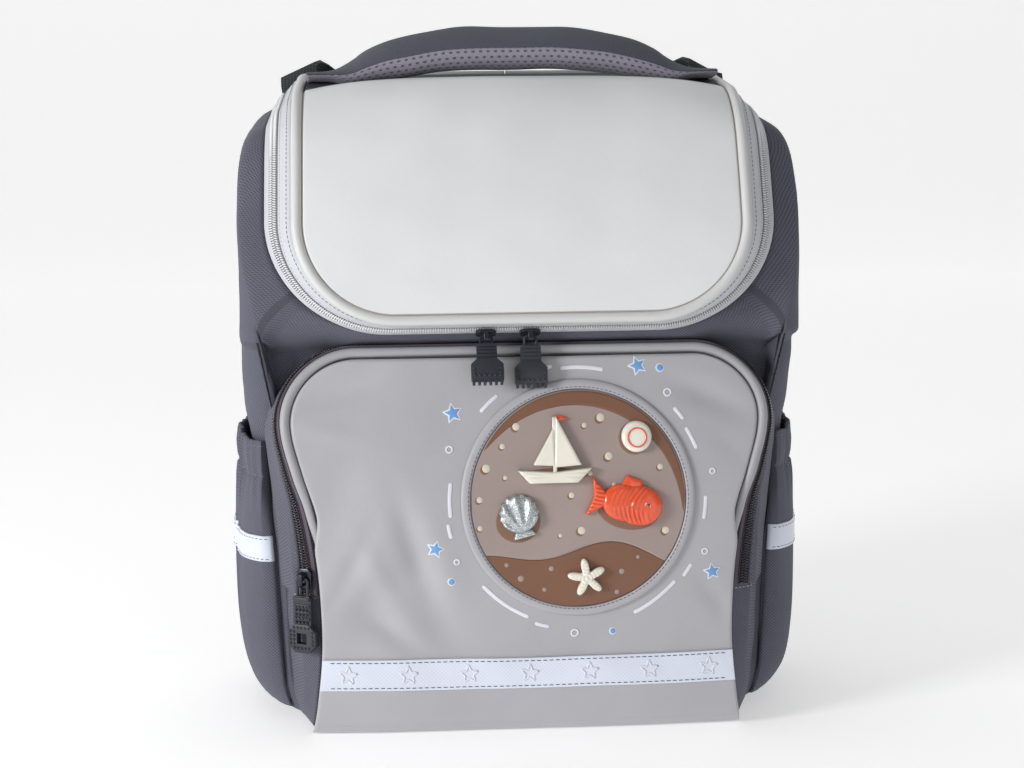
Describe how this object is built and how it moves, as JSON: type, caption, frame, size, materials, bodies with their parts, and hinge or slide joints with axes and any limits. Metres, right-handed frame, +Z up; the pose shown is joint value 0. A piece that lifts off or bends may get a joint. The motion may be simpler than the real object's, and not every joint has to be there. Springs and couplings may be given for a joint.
{
  "type": "school backpack",
  "caption": "Kids' stand-up school backpack with a zipped stiff cream lid, grey front pocket with a round badge, gathered side pockets, padded handle and shoulder straps",
  "frame": {"origin": "on the floor, in the middle of the main compartment seen from above", "axes": "+X to the right as the bag is seen from its front, +Y towards the back panel and straps, +Z up"},
  "size_m": [0.3296, 0.2287, 0.3863],
  "materials": {
    "grey_cloth": "matte twill",
    "cream_sheet": "satin fine grain",
    "cream_cloth": "ribbed tape",
    "cream_coil": "fine coil",
    "grey_sheet": "satin fine grain",
    "dark_coil": "fine coil",
    "reflective_sheet": "embossed reflective",
    "badge_sheet": "satin",
    "motif_gloss": "raised gloss",
    "motif_silver": "hammered glitter",
    "lilac_mesh": "open mesh",
    "dark_mesh": "padded mesh",
    "black_webbing": "woven",
    "black_plastic": "moulded",
    "black_rubber": "satin moulded",
    "dark_metal": "satin"
  },
  "bodies": {
    "bag": {"body_shell": "grey_cloth", "lid_front_panel": "cream_sheet", "lid_top_panel": "grey_cloth", "lid_hinge_strip": "grey_cloth", "lid_piping": "cream_sheet", "lid_zip_tape": "cream_cloth", "lid_zip_chain": "cream_coil", "body_zip_tape": "cream_cloth", "pocket_gusset": "grey_cloth", "pocket_panel": "grey_sheet", "pocket_piping": "grey_sheet", "pocket_zip_chain": "dark_coil", "pocket_zip_flap": "grey_cloth", "reflective_band": "reflective_sheet", "badge_rim": "badge_sheet", "badge_field": "badge_sheet", "badge_ground": "badge_sheet", "motif_fish": "motif_gloss", "motif_shell": "motif_silver", "motif_boat": "motif_gloss", "motif_starfish": "motif_gloss", "motif_sun": "motif_gloss", "side_pocket_left": "grey_cloth", "side_pocket_right": "grey_cloth", "side_band_left": "reflective_sheet", "side_band_right": "reflective_sheet", "handle_cover": "grey_cloth", "handle_lining": "lilac_mesh", "back_panel": "dark_mesh", "shoulder_strap_left": "dark_mesh", "shoulder_strap_right": "dark_mesh", "strap_adjuster_left": "black_plastic", "strap_adjuster_right": "black_plastic", "strap_webbing_left": "black_webbing", "strap_webbing_right": "black_webbing", "lifter_webbing_left": "black_webbing", "lifter_webbing_right": "black_webbing", "lid_slider_left": "dark_metal", "lid_slider_right": "dark_metal", "pocket_slider": "dark_metal"},
    "lid_pull_left": {"lid_pull_left": "black_rubber"},
    "lid_pull_right": {"lid_pull_right": "black_rubber"},
    "pocket_pull": {"pocket_pull": "black_rubber"}
  },
  "joints": [
    {"name": "lid_pull_left_swing", "type": "hinge", "parent": "bag", "child": "lid_pull_left", "pos_m": [-0.021, -0.08796, 0.22048], "axis": [-1, 0, 0], "range_deg": [0, 60]},
    {"name": "lid_pull_right_swing", "type": "hinge", "parent": "bag", "child": "lid_pull_right", "pos_m": [0.003, -0.08796, 0.22048], "axis": [-1, 0, 0], "range_deg": [0, 78]},
    {"name": "pocket_pull_swing", "type": "hinge", "parent": "bag", "child": "pocket_pull", "pos_m": [-0.12283, -0.09241, 0.09], "axis": [-0.8703, 0.4925, 0], "range_deg": [0, 150]}
  ]
}
